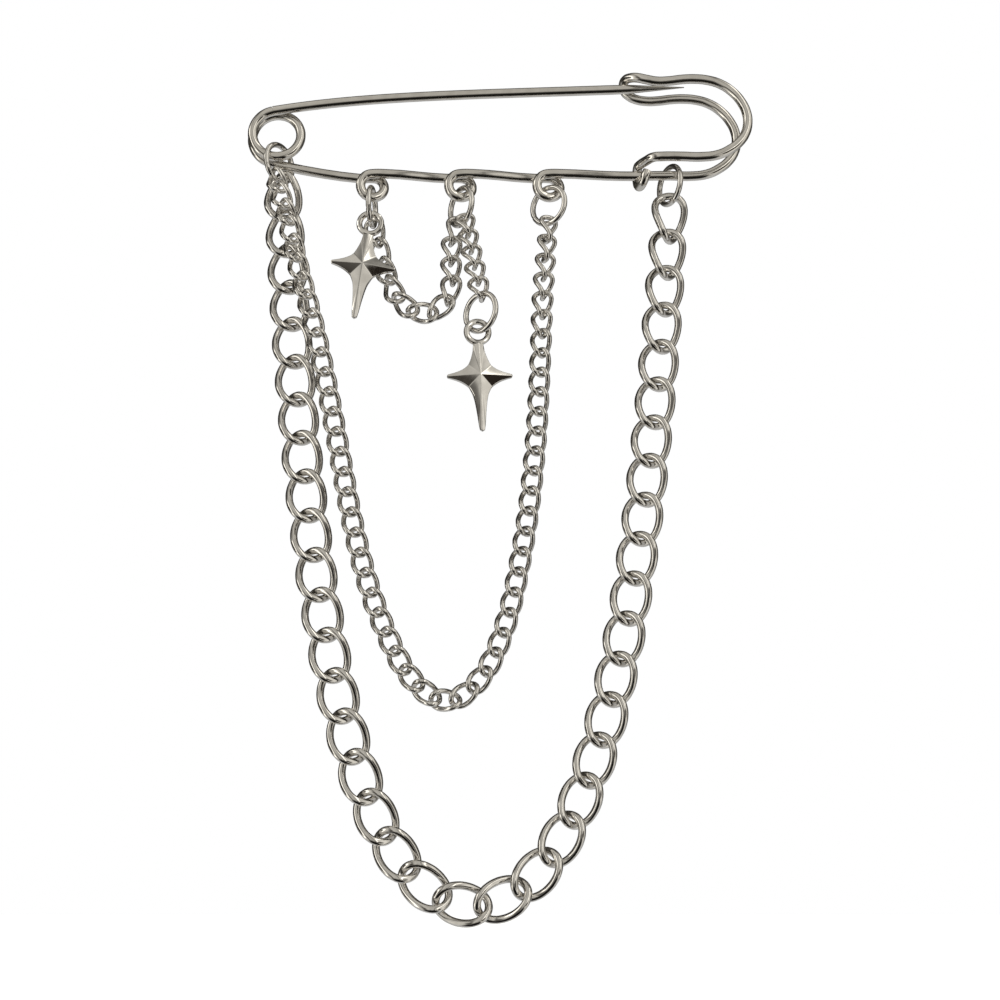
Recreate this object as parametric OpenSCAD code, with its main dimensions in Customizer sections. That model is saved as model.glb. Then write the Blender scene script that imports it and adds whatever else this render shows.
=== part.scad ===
// Lapel chain: a bent-wire kilt pin with three hanging loops, a long curb chain,
// a fine curb chain, a short swag, and two four-pointed star drops.
// +X runs from the spring coil to the clasp bow, +Y points away from the viewer into the
// cloth, and +Z is up. The origin is the middle of the gap that the cloth is pinned in.

/* [Wire pin] */
// Thickness of the pin's wire
wire_d = 1.2; // [1:0.02:1.24]
// Height from the spine up to the arm where the tip is caught
gap_height = 11.6; // [10.6:0.1:12.6]
// Distance from the middle loop to the axis of the spring coil
coil_reach = 23.1; // [20:0.1:26]
// Mean radius of the spring coil
coil_r = 3; // [2.8:0.05:3.3]
// Height of the coil's axis above the spine
coil_height = 5.05; // [4.7:0.05:5.4]
// How much the coil's last half turn opens out
coil_spread = 0.35; // [0.2:0.05:0.45]
// Distance from one hanging loop to the next
loop_spacing = 11.1; // [10.6:0.1:11.6]
// Mean radius of a hanging loop
loop_r = 1.45; // [1.4:0.01:1.55]
// Gap between neighbouring turns of wire
turn_gap = 0.14; // [0.1:0.01:0.18]

/* [Pin arm] */
// Distance from the middle loop to the arm's sharp tip
tip_reach = 28.5; // [27.6:0.1:29.4]
// Length of the ground taper at the tip
tip_length = 7.4; // [6:0.1:8]
// Thickness left at the very tip
tip_d = 0.12; // [0.08:0.02:0.3]
// Slope of the arm where it leaves the coil, in degrees
arm_slope = 9; // [8:0.25:10]
// Slope of the arm at its tip, in degrees
tip_slope = 2.3; // [1.5:0.1:3]
// Gap where the arm's end meets the coil
arm_gap = 0.05; // [0.03:0.01:0.1]

/* [Clasp bow] */
// Distance from the middle loop to the bow's mouth
bow_reach = 22.1; // [21.8:0.1:22.6]
// Length of the bow from its mouth to its round end
bow_length = 14.1; // [13.4:0.1:15]
// Height of the front arch's top above the arm's tip
bow_clear = 0.45; // [0.3:0.05:0.7]
// How far the front arch stands before the back arch
bow_depth = 2.7; // [2.6:0.05:3]
// How far the front arch is carried towards the round end
bow_shift = 1.1; // [0.9:0.05:1.3]
// How far the front arch is carried up
bow_rise = 1.35; // [1.28:0.01:1.5]
// Gap between the wire's end and the spine that it wraps
wrap_gap = 0.1; // [0.08:0.01:0.13]

/* [Jump rings] */
// Mean radius of a jump ring
ring_r = 2.4; // [2.3:0.02:2.5]
// Thickness of a jump ring's wire
ring_d = 0.7; // [0.6:0.02:0.74]
// Clearance between a ring and what it hangs on or carries
hang_gap = 0.12; // [0.1:0.01:0.18]

/* [Long chain] */
// Outer width of a long link
long_width = 5; // [4.8:0.05:5.3]
// Thickness of a long link's wire
long_d = 0.9; // [0.8:0.02:0.96]
// Length of chain that each long link adds
long_pitch = 4.88; // [4.75:0.01:5]

/* [Fine chains] */
// Outer width of a fine link
fine_width = 2.7; // [2.66:0.01:2.8]
// Thickness of a fine link's wire
fine_d = 0.6; // [0.55:0.01:0.62]
// Clearance between neighbouring links
link_gap = 0.12; // [0.1:0.01:0.16]

/* [Star drops] */
// Reach of a star's side arms from its centre
star_side = 4.05; // [3.8:0.05:4.3]
// Reach of the long lower arm
star_drop = 7; // [6.6:0.1:7.4]
// Distance from the star's centre up to the centre of its eye
star_top = 5.7; // [5.4:0.05:6]
// Thickness at the star's centre
star_thick = 2.2; // [1.8:0.05:2.6]
// Thickness at the ends and the inner corners of the arms
star_edge = 0.5; // [0.4:0.05:0.7]
// Least thickness of the star's edge
star_rim = 0.3; // [0.2:0.05:0.4]
// Mean radius of the eye
eye_r = 1.36; // [1.32:0.01:1.42]
// Thickness of the eye's wire
eye_d = 0.74; // [0.66:0.02:0.76]

/* [Hidden] */
LONG_LINKS = 39;
FINE_LINKS = 54;
SWAG_LINKS = 11;
DROP_LINKS = 5;
silver = "#c9c7c2";

// Sides of a meshed wire, and steps round a link
WIRE_SIDES = 8;
LINK_SIDES = 5;
LONG_STEPS = 14;
FINE_STEPS = 10;
viewer = [0, -1, 0];

// How far the middle of the two wires lies above the origin
gap_shift = 0.4;
tip_z = gap_shift + gap_height / 2;
spine_z = gap_shift - gap_height / 2;
// Small shift of the three loops towards the bow
loop_shift = 0.1;
coil_x = -coil_reach;
coil_z = spine_z + coil_height;
turn_pitch = wire_d + turn_gap;
bow_x = bow_reach;
// How far the front arch is carried up, and the height of the arch itself
bow_foot = spine_z + bow_rise;
bow_height = tip_z + bow_clear - bow_foot;

// Outline of the bow's front arch from its mouth to the end of its lower run.
// Columns: share of bow_length from the mouth, share of bow_height above the lower run
BOW_OUTLINE = [
    [0.10, 0.995], [0.20, 0.970], [0.31, 0.975], [0.43, 0.995], [0.54, 1.000],
    [0.65, 0.985], [0.765, 0.935], [0.87, 0.835], [0.95, 0.700], [0.993, 0.555],
    [1.000, 0.440], [0.977, 0.305], [0.920, 0.187], [0.833, 0.093], [0.724, 0.025],
    [0.580, 0.000], [0.400, 0.005]
];
// Bend that joins the two arches over the arm. Columns: share of wire_d from the mouth along
// X, share of bow_depth behind the front arch, share of wire_d above the front arch
MOUTH_BEND = [
    [0.30, 0.06, 0.22], [-0.35, 0.24, 0.42], [-0.85, 0.50, 0.50],
    [-1.05, 0.80, 0.25], [-0.90, 0.96, -0.30], [-0.35, 1.00, -0.85]
];
// Wire that runs from the front arch back to the spine. Columns: share of wire_d from the mouth
// along X, share of bow_depth behind the front arch, share of wire_d above the bow's foot
WRAP_LEAD = [[2.60, 0.00, 0.04], [1.85, 0.10, 0.08], [1.12, 0.50, 0.08]];

// Routes of the hand-laid chains in the plane of the spine, between their two rings
FINE_ROUTE = [
    [-21.2, -2.8, -12.5], [-19.6, -2.9, -19], [-17.4, -2.7, -27], [-15.6, -2, -35],
    [-14, -1.4, -43], [-12.6, -1, -50], [-10.8, -0.6, -57], [-8.6, -0.4, -63],
    [-5.4, -0.2, -69], [-1, 0, -71.9], [3.2, 0, -68.6], [5.8, 0, -62.5],
    [7.4, 0, -55.5], [8.6, 0, -48], [9.5, 0, -39], [10, 0, -30], [10.4, 0, -21]
];
SWAG_ROUTE = [
    [-10.1, 1.3, -14.8], [-9.2, 1.2, -18], [-8.2, 1, -20.7], [-7, 0.9, -22.4], [-5.1, 0.8, -23.6],
    [-3, 0.7, -23.5], [-1.5, 0.6, -22.1], [-0.9, 0.6, -19.6], [-1.1, 0.7, -14.8]
];

// A quarter of a star's outline, from the side arm's tip to the end of the upper or lower arm.
// Columns: share of star_side across, share of the upper or lower arm's length along it
STAR_UPPER = [
    [1.00, 0.00], [0.975, 0.05], [0.79, 0.093], [0.62, 0.145], [0.48, 0.214], [0.355, 0.315],
    [0.29, 0.43], [0.235, 0.56], [0.18, 0.745], [0.15, 1.00], [0.00, 1.00]
];
STAR_LOWER = [
    [1.00, 0.00], [0.975, 0.032], [0.79, 0.06], [0.62, 0.096], [0.48, 0.142], [0.355, 0.20],
    [0.29, 0.264], [0.225, 0.35], [0.18, 0.47], [0.138, 0.657], [0.106, 0.857], [0.075, 0.975],
    [0.00, 1.00]
];
// Row of the inner corner between two arms
STAR_CORNER = 5;

function unit(v) = v / norm(v);
function across(v, axis) = unit(v - (v * axis) * axis);
function running_sum(v) = [for (a = 0, i = 0; i <= len(v); a = a + (i < len(v) ? v[i] : 0), i = i + 1) a];
function asinh(t) = ln(t + sqrt(t * t + 1));
function sinh(t) = (exp(t) - exp(-t)) / 2;

// Point at share t between b and c on a smooth curve through a, b, c and d
function smooth_point(a, b, c, d, t) =
    0.5 * (2 * b + (c - a) * t + (2 * a - 5 * b + 4 * c - d) * t * t + (3 * b - a - 3 * c + d) * t * t * t);
function smooth_path(p, steps) = concat(
    [for (i = [0:len(p) - 2], k = [0:steps - 1])
        smooth_point(p[max(i - 1, 0)], p[i], p[i + 1], p[min(i + 2, len(p) - 1)], k / steps)],
    [p[len(p) - 1]]
);
function bezier_point(a, b, c, d, t) =
    pow(1 - t, 3) * a + 3 * pow(1 - t, 2) * t * b + 3 * (1 - t) * t * t * c + pow(t, 3) * d;

// Points at equal steps along a path, for a chain of count links
function path_lengths(p) = running_sum([for (i = [1:len(p) - 1]) norm(p[i] - p[i - 1])]);
function joints_on(p, count) =
    let (s = path_lengths(p), total = s[len(s) - 1])
    [for (i = [0:count]) [for (axis = [0:2]) lookup(total * i / count, [for (k = [0:len(p) - 1]) [s[k], p[k][axis]]])]];

// A chain hanging free between two points: its half span over its sag number, by halving
LEAST_NUMBER = 0.01;
MOST_NUMBER = 12;
HALVINGS = 40;
function hang_number(ratio, low, high, tries) =
    let (mid = (low + high) / 2)
    tries == 0 ? mid
    : sinh(mid) / mid < ratio ? hang_number(ratio, mid, high, tries - 1)
    : hang_number(ratio, low, mid, tries - 1);
function hanging_joints(start, end, pitch, count) =
    let (
        span = end[0] - start[0],
        rise = end[2] - start[2],
        total = pitch * count,
        number = hang_number(sqrt(total * total - rise * rise) / span, LEAST_NUMBER, MOST_NUMBER, HALVINGS),
        sag = span / (2 * number),
        // Length from the start to the lowest point
        tilt = ln((total + rise) / (total - rise)) / 2,
        s_start = sag * sinh(-number + tilt),
        x_low = start[0] - sag * asinh(s_start / sag),
        z_low = start[2] - sqrt(sag * sag + s_start * s_start)
    )
    [for (i = [0:count])
        let (s = s_start + pitch * i)
        [x_low + sag * asinh(s / sag), start[1] + (end[1] - start[1]) * i / count, z_low + sqrt(sag * sag + s * s)]];

// Swept wire: a ring of points at each step of the path, joined by triangles
function directions(p, closed) =
    let (n = len(p))
    [for (i = [0:n - 1])
        closed ? unit(p[(i + 1) % n] - p[(i + n - 1) % n]) : unit(p[min(i + 1, n - 1)] - p[max(i - 1, 0)])];
function carried(t, first) =
    [for (i = 0, side = across(first, t[0]); i < len(t);
        i = i + 1, side = i < len(t) ? across(side, t[i]) : side) side];
function wire_faces(n, m, closed) = concat(
    [for (i = [0:n - (closed ? 1 : 2)], j = [0:m - 1], half = [0:1])
        let (a = i * m + j, b = i * m + (j + 1) % m, c = ((i + 1) % n) * m + (j + 1) % m, d = ((i + 1) % n) * m + j)
        half == 0 ? [a, b, c] : [a, c, d]],
    closed ? [] : [[for (j = [m - 1:-1:0]) j], [for (j = [0:m - 1]) (n - 1) * m + j]]
);
module wire(path, radii, sides, side_list, closed = false) {
    t = directions(path, closed);
    points = [for (i = [0:len(path) - 1], j = [0:sides - 1])
        let (v = side_list[i], w = cross(t[i], v), turn = 360 * j / sides)
        path[i] + radii[i] * (cos(turn) * v + sin(turn) * w)];
    polyhedron(points, wire_faces(len(path), sides, closed), convexity = 10);
}
module open_wire(path, radii) {
    wire(path, radii, WIRE_SIDES, carried(directions(path, false), viewer));
}

// The arm and the coil
arm_angle = 90 + arm_slope;
function coil_point(angle) =
    let (
        opened = max(0, (angle - (coil_end - 180)) / 180),
        r = coil_r + coil_spread * opened
    )
    [coil_x + r * cos(angle), coil_y + turn_pitch * (angle - arm_angle) / 360, coil_z + r * sin(angle)];
// The wire leaves the coil for the first loop after one and a half turns
coil_end = 620;
coil_y = -turn_pitch * (coil_end - arm_angle) / 360;
arm_start = coil_point(arm_angle);
arm_tip = [tip_reach, -bow_depth / 2, tip_z];
// How far the arm swings forward as it leaves the coil, which keeps it off the next turn
arm_lead = 0.5;
function arm_path() =
    let (
        reach = tip_reach - arm_start[0],
        near = arm_start + [0.25 * reach * cos(arm_slope), -arm_lead, 0.25 * reach * sin(arm_slope)],
        far = arm_tip - 0.5 * reach * [cos(tip_slope), 0, sin(tip_slope)]
    )
    [for (k = [0:16]) bezier_point(arm_start, near, far, arm_tip, k / 16)];
function arm_radius(x) = wire_d / 2 - (wire_d - tip_d) / 2 * max(0, (x - tip_reach + tip_length) / tip_length);

// The hanging loops, each one turn of wire below the spine
function loop_x(i) = (i - 2) * loop_spacing + loop_shift;
loop_z = spine_z - loop_r;
// Straight wire before and after a loop that keeps the loop's depth
loop_lead = 1.5 * wire_d;
function loop_path(i) = concat(
    [[loop_x(i) - loop_lead, turn_pitch / 2, spine_z]],
    [for (k = [0:16])
        let (angle = 90 - 360 * k / 16)
        [loop_x(i) + loop_r * cos(angle), turn_pitch / 2 * cos(180 * k / 16), loop_z + loop_r * sin(angle)]],
    [[loop_x(i) + loop_lead, -turn_pitch / 2, spine_z]]
);

// The clasp bow: the spine turns up into the back arch, and the front arch comes back
function bow_front() =
    [for (row = BOW_OUTLINE) [bow_x + row[0] * bow_length, -bow_depth, bow_foot + row[1] * bow_height]];
function bow_back() = [for (p = bow_front()) p + [-bow_shift, bow_depth, -bow_rise]];
function reversed(v) = [for (i = [len(v) - 1:-1:0]) v[i]];
mouth_z = bow_foot + bow_height;
function mouth_path() =
    [for (row = reversed(MOUTH_BEND))
        [bow_x + row[0] * wire_d, bow_depth * (row[1] - 1), mouth_z + row[2] * wire_d]];
// The wire's end goes over the spine, behind it and up in front
wrap_r = wire_d + wrap_gap;
WRAP_STEPS = 11;
wrap_start = 96;
wrap_turn = 280;
// Where the wrap begins along the spine, and how it first drifts on and then comes back
wrap_place = 0.4 * wire_d;
wrap_drift = 0.75 * wire_d;
wrap_back = 1.6 * wire_d;
function wrap_path() =
    [for (k = [0:WRAP_STEPS])
        let (t = k / WRAP_STEPS, angle = wrap_start - wrap_turn * t)
        [bow_x + wrap_place - wrap_drift * t + wrap_back * t * t, wrap_r * cos(angle), spine_z + wrap_r * sin(angle)]];

function frame_path() = concat(
    [for (k = [0:26]) coil_point(arm_angle + arm_gap / coil_r * 180 / PI + (coil_end - arm_angle) * k / 26)],
    loop_path(1),
    loop_path(2),
    loop_path(3),
    [[bow_x - 2, 0, spine_z]],
    reversed(bow_back()),
    mouth_path(),
    bow_front(),
    [for (row = WRAP_LEAD) [bow_x + row[0] * wire_d, bow_depth * (row[1] - 1), bow_foot + row[2] * wire_d]],
    wrap_path()
);

// A link as a twisted oval: its centre is midway between two joints, and it turns by roll
function link_side(along, roll) =
    let (level = unit(cross(viewer, along)))
    cos(roll) * level - sin(roll) * cross(along, level);
function link_path(start, end, roll, half_width, half_length, twist, steps) =
    let (along = unit(end - start), side = link_side(along, roll), face = cross(along, side))
    [for (k = [0:steps - 1])
        let (angle = 90 + 360 * k / steps)
        (start + end) / 2 + half_width * cos(angle) * side + half_length * sin(angle) * along
            - twist * sin(2 * angle) * face];

// Each link's twist keeps the sides of two hooked links apart, and links are drawn out a
// little where the chain bends
long_twist = 0.7 * (long_d + link_gap);
fine_twist = 0.95 * (fine_d + link_gap);
bend_slack = 0.25;
most_slack = 0.12;
function bend_at(joints, i) =
    let (before = joints[max(i - 1, 0)], after = joints[min(i + 1, len(joints) - 1)])
    i == 0 || i == len(joints) - 1 ? 0 : norm(unit(joints[i] - before) - unit(after - joints[i]));
function half_length(joints, i, d) =
    (norm(joints[i + 1] - joints[i]) + d + link_gap) / 2
        + min(most_slack, bend_slack * max(bend_at(joints, i), bend_at(joints, i + 1)));
function long_path(i, steps) =
    link_path(long_joints[i], long_joints[i + 1], long_roll(i), (long_width - long_d) / 2,
        half_length(long_joints, i, long_d), long_twist, steps);
function fine_path(joints, i, roll, steps) =
    link_path(joints[i], joints[i + 1], roll, (fine_width - fine_d) / 2,
        half_length(joints, i, fine_d), fine_twist, steps);
module link(path, joints, i, roll, d) {
    along = unit(joints[i + 1] - joints[i]);
    face = cross(along, link_side(along, roll));
    wire(path, [for (p = path) d / 2], LINK_SIDES, [for (t = directions(path, true)) across(face, t)], closed = true);
}

// Jump rings. Columns: centre, turn in degrees about the vertical
hook = (wire_d + ring_d) / 2 + hang_gap;
loop_top = loop_z - loop_r + hook - ring_r;
coil_low = coil_z - coil_r + hook - ring_r;
RINGS = [
    [[coil_x + 0.35, coil_y / 3, coil_low + 0.7], 56],
    [[loop_x(1), 0, loop_top + 0.03], 84],
    [[loop_x(2) + 0.1, 0, loop_top + 0.06], -55],
    [[loop_x(3), 0, loop_top + 0.21], -36],
    [[bow_x + 4.4, 0, spine_z + hook - ring_r + 0.06], -63]
];
coil_ring_at = RINGS[0];
loop_ring_1_at = RINGS[1];
loop_ring_2_at = RINGS[2];
loop_ring_3_at = RINGS[3];
bow_ring_at = RINGS[4];

// Point low on a ring's wire, at a distance along the ring's plane from its middle
function ring_low(ring, t) =
    ring[0] + [t * cos(ring[1]), t * sin(ring[1]), -sqrt(ring_r * ring_r - t * t)];
// Start of a chain whose first link hooks a ring there
ring_rest = (ring_d + link_gap) / 2;
slant_rest = 0.13;
function hung(ring, t) = ring_low(ring, t) + [0, 0, ring_rest + slant_rest * t * t];

// How much a link's turn fades over the links next to a ring
function fade(i, count) = max(0, 1 - i / count);

long_joints = hanging_joints(hung(coil_ring_at, 0.6), hung(bow_ring_at, 0), long_pitch, LONG_LINKS);
function long_roll(i) = -15 * fade(i, 4) - 30 * fade(LONG_LINKS - 1 - i, 4);

fine_joints = joints_on(
    smooth_path(concat([hung(coil_ring_at, -0.9)], FINE_ROUTE, [hung(loop_ring_3_at, 0)]), 8), FINE_LINKS);
function fine_roll(i) = -8 * fade(i, 4) - 70 * fade(FINE_LINKS - 1 - i, 7);

swag_joints = joints_on(
    smooth_path(concat([hung(loop_ring_1_at, 0.8)], SWAG_ROUTE, [hung(loop_ring_2_at, -0.8)]), 8), SWAG_LINKS);
function swag_roll(i) = 40 * fade(i, 3) - 25 - 23 * fade(SWAG_LINKS - 1 - i, 4);

// The drop leans towards the bow
drop_pitch = 2.15;
drop_slope = 11;
drop_start = hung(loop_ring_2_at, 0.8);
drop_end = drop_start + drop_pitch * DROP_LINKS * [sin(drop_slope), 0, -cos(drop_slope)];
drop_joints = [for (i = [0:DROP_LINKS]) drop_start + (drop_end - drop_start) * i / DROP_LINKS];
function drop_roll(i) = 52 - 17 * i / (DROP_LINKS - 1);
star_ring_at = [drop_end + [0, 0, ring_rest - ring_r], -40];

// Star drop from its eye's centre down, with the eye facing front. Its front and back are eight
// flat facets each, which meet in a ridge along every arm and a valley to every inner corner
star_neck = star_top - eye_r;
// The upper ridge falls as if it ran on past the neck
NECK_RIDGE = 1.12;
// A quarter's outline with the half thickness at each of its points
function quarter(shares, reach, ridge) =
    let (corner_x = shares[STAR_CORNER][0], corner_z = shares[STAR_CORNER][1] * reach / ridge)
    [for (i = [0:len(shares) - 1])
        let (
            x = shares[i][0],
            z = shares[i][1] * reach / ridge,
            fall = i <= STAR_CORNER ? x + z * (1 - corner_x) / corner_z : z + x * (1 - corner_z) / corner_x
        )
        [x * star_side, shares[i][1] * reach, max(star_rim / 2, star_thick / 2 - (star_thick - star_edge) / 2 * fall)]];
function between(v) = [for (i = [len(v) - 2:-1:1]) v[i]];
function star_outline() =
    let (
        upper = quarter(STAR_UPPER, star_neck, NECK_RIDGE * star_neck),
        lower = quarter(STAR_LOWER, star_drop, star_drop)
    )
    concat(
        upper,
        [for (p = between(upper)) [-p[0], p[1], p[2]]],
        [for (p = lower) [-p[0], -p[1], p[2]]],
        [for (p = between(lower)) [p[0], -p[1], p[2]]]
    );
module star(hang, tilt, turn) {
    outline = star_outline();
    n = len(outline);
    points = concat(
        [[0, -star_thick / 2, 0], [0, star_thick / 2, 0]],
        [for (p = outline) [p[0], -p[2], p[1]]],
        [for (p = outline) [p[0], p[2], p[1]]]
    );
    faces = [for (i = [0:n - 1], part = [0:3])
        let (a = 2 + i, b = 2 + (i + 1) % n)
        part == 0 ? [0, b, a] : part == 1 ? [a, b, b + n] : part == 2 ? [a, b + n, a + n] : [1, a + n, b + n]];
    translate(hang) rotate([0, tilt, turn]) {
        translate([0, 0, -star_top]) polyhedron(points, faces, convexity = 6);
        rotate([90, 0, 0]) ring_wire(eye_r, eye_d);
    }
}
module ring_wire(r, d) {
    rotate_extrude($fn = 48) translate([r, 0]) circle(d = d, $fn = 24);
}
module jump_ring(ring) {
    color(silver) translate(ring[0]) rotate([0, 0, ring[1]]) rotate([90, 0, 0]) ring_wire(ring_r, ring_d);
}
// Centre of an eye that hangs low on a ring
function eye_on(ring, t) = ring_low(ring, t) + [0, 0, (ring_d + eye_d) / 2 + hang_gap + slant_rest * t * t - eye_r];
star_1_at = eye_on(loop_ring_1_at, -0.9);
// The second star's eye crosses its ring at a slant, so it hangs a little looser
slant_hang = 0.35;
star_2_at = eye_on(star_ring_at, -0.5) + [0, 0, slant_hang];
star_1_tilt = 8;
star_2_tilt = -3;
star_2_turn = 8;

module pin_frame() {
    path = frame_path();
    color(silver) open_wire(path, [for (p = path) wire_d / 2]);
}
module pin_arm() {
    path = arm_path();
    color(silver) open_wire(path, [for (p = path) arm_radius(p[0])]);
}
module coil_ring() { jump_ring(coil_ring_at); }
module loop_ring_1() { jump_ring(loop_ring_1_at); }
module loop_ring_2() { jump_ring(loop_ring_2_at); }
module loop_ring_3() { jump_ring(loop_ring_3_at); }
module bow_ring() { jump_ring(bow_ring_at); }
module star_ring() { jump_ring(star_ring_at); }
module star_1() { color(silver) star(star_1_at, star_1_tilt, 0); }
module star_2() { color(silver) star(star_2_at, star_2_tilt, star_2_turn); }
module long_link(i) {
    color(silver) link(long_path(i - 1, LONG_STEPS), long_joints, i - 1, long_roll(i - 1), long_d);
}
module fine_link(joints, i, roll) {
    color(silver) link(fine_path(joints, i, roll, FINE_STEPS), joints, i, roll, fine_d);
}
module fine_chain() {
    for (i = [0:FINE_LINKS - 1]) fine_link(fine_joints, i, fine_roll(i));
}
module swag_chain() {
    for (i = [0:SWAG_LINKS - 1]) fine_link(swag_joints, i, swag_roll(i));
}
module drop_chain() {
    for (i = [0:DROP_LINKS - 1]) fine_link(drop_joints, i, drop_roll(i));
}

pin_frame();
pin_arm();
coil_ring();
loop_ring_1();
loop_ring_2();
loop_ring_3();
bow_ring();
star_ring();
star_1();
star_2();
fine_chain();
swag_chain();
drop_chain();
for (i = [1:LONG_LINKS]) long_link(i);
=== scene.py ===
import bpy
import math
from mathutils import Matrix, Vector


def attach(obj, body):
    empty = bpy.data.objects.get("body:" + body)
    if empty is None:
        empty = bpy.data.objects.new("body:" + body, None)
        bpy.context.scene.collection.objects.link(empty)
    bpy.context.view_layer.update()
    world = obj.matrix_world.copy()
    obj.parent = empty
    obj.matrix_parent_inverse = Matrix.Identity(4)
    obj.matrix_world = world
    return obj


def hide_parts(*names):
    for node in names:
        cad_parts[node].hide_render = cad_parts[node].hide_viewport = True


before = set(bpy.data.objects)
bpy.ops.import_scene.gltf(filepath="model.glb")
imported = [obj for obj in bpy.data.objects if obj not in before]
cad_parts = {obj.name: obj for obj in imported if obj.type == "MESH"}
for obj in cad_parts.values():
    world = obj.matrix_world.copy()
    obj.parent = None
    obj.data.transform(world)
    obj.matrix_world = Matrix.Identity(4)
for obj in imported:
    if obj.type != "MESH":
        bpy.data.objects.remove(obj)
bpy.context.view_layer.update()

mm = 0.001
scene = bpy.context.scene


def clearSelection():
    if bpy.context.object and bpy.context.object.mode != "OBJECT":
        bpy.ops.object.mode_set(mode="OBJECT")
    bpy.ops.object.select_all(action="DESELECT")


def pick(obj):
    clearSelection()
    obj.select_set(True)
    bpy.context.view_layer.objects.active = obj
    return obj


# Turns all faces outward
def facesOut(obj):
    pick(obj)
    bpy.ops.object.mode_set(mode="EDIT")
    bpy.ops.mesh.select_all(action="SELECT")
    bpy.ops.mesh.normals_make_consistent(inside=False)
    bpy.ops.object.mode_set(mode="OBJECT")


# Moves an object's place, turn and size into its mesh
def freeze(obj):
    pick(obj)
    bpy.ops.object.transform_apply(location=True, rotation=True, scale=True)


weldDistance = 0.002 * mm


# A round wire drawn through points given in mm, as a curve that becomes a mesh
def drawWire(name, points, thickness, sides, steps, closed=False, shares=None):
    clearSelection()
    bpy.ops.curve.primitive_bezier_curve_add(location=(0, 0, 0))
    wire = bpy.context.object
    wire.name = name
    route = wire.data
    route.splines.clear()
    spline = route.splines.new("BEZIER")
    spline.bezier_points.add(len(points) - 1)
    for i, p in enumerate(points):
        knot = spline.bezier_points[i]
        knot.co = Vector(p) * mm
        knot.handle_left_type = knot.handle_right_type = "AUTO"
        knot.radius = shares[i] if shares else 1.0
    spline.use_cyclic_u = closed
    spline.resolution_u = steps
    route.dimensions = "3D"
    route.twist_mode = "MINIMUM"
    route.resolution_u = steps
    route.fill_mode = "FULL"
    route.bevel_depth = thickness / 2 * mm
    route.bevel_resolution = (sides - 4) // 2    # a bevel has 4 sides, and 2 more for each step
    route.use_fill_caps = not closed
    pick(wire)
    bpy.ops.object.convert(target="MESH")
    wire = bpy.context.object
    bpy.ops.object.mode_set(mode="EDIT")
    bpy.ops.mesh.select_all(action="SELECT")
    bpy.ops.mesh.remove_doubles(threshold=weldDistance)
    facesOut(wire)
    return wire


# A finished piece: its name, shading and material, the body it rides on and what it replaces
def finishPiece(obj, name, body, material, replaced, angle=40):
    pick(obj)
    obj.name = name
    obj.data.name = name
    bpy.ops.object.shade_smooth_by_angle(angle=math.radians(angle))
    obj.data.materials.clear()
    obj.data.materials.append(material)
    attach(obj, body)
    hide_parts(*replaced)


# A node that brings one range of values to another
def remap(nodes, low, high, toLow=0.0, toHigh=1.0):
    step = nodes.new("ShaderNodeMapRange")
    step.inputs["From Min"].default_value = low
    step.inputs["From Max"].default_value = high
    step.inputs["To Min"].default_value = toLow
    step.inputs["To Max"].default_value = toHigh
    return step


mixLow, mixHigh, mixOut = 6, 7, 2    # places of the colour sockets on a mix node

# The camera stands level with the chains' lower end and looks up, as in the photo
view = {
    "place": (0.005084, -0.188625, -0.094580), "tilt": 104,
    "lens": 58.32, "sensor": 36, "nearest": 0.005, "farthest": 50,
}

bpy.ops.object.camera_add(location=view["place"], rotation=(math.radians(view["tilt"]), 0, 0))
camera = bpy.context.object
camera.name = "photoCamera"
camera.data.lens = view["lens"]
camera.data.sensor_width = view["sensor"]
camera.data.clip_start = view["nearest"]
camera.data.clip_end = view["farthest"]
scene.camera = camera

ground = {
    "height": -0.135, "radius": 6.0, "sides": 96,
    "colour": (0.93, 0.93, 0.92, 1), "roughness": 0.9, "shine": 0.1,
    "glow": (1, 1, 1, 1), "glowStrength": 0.85,
}

clearSelection()
bpy.ops.mesh.primitive_circle_add(vertices=ground["sides"], radius=ground["radius"], fill_type="NGON",
                                  location=(0, 0, ground["height"]))
floor = bpy.context.object
floor.name = "paleFloor"
freeze(floor)
floorPaint = bpy.data.materials.new("palePaper")
floorPaint.use_nodes = True
paper = floorPaint.node_tree.nodes["Principled BSDF"]
paper.inputs["Base Color"].default_value = ground["colour"]
paper.inputs["Roughness"].default_value = ground["roughness"]
paper.inputs["Specular IOR Level"].default_value = ground["shine"]
paper.inputs["Emission Color"].default_value = ground["glow"]
paper.inputs["Emission Strength"].default_value = ground["glowStrength"]
floor.data.materials.append(floorPaint)
floor.visible_glossy = False

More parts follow.
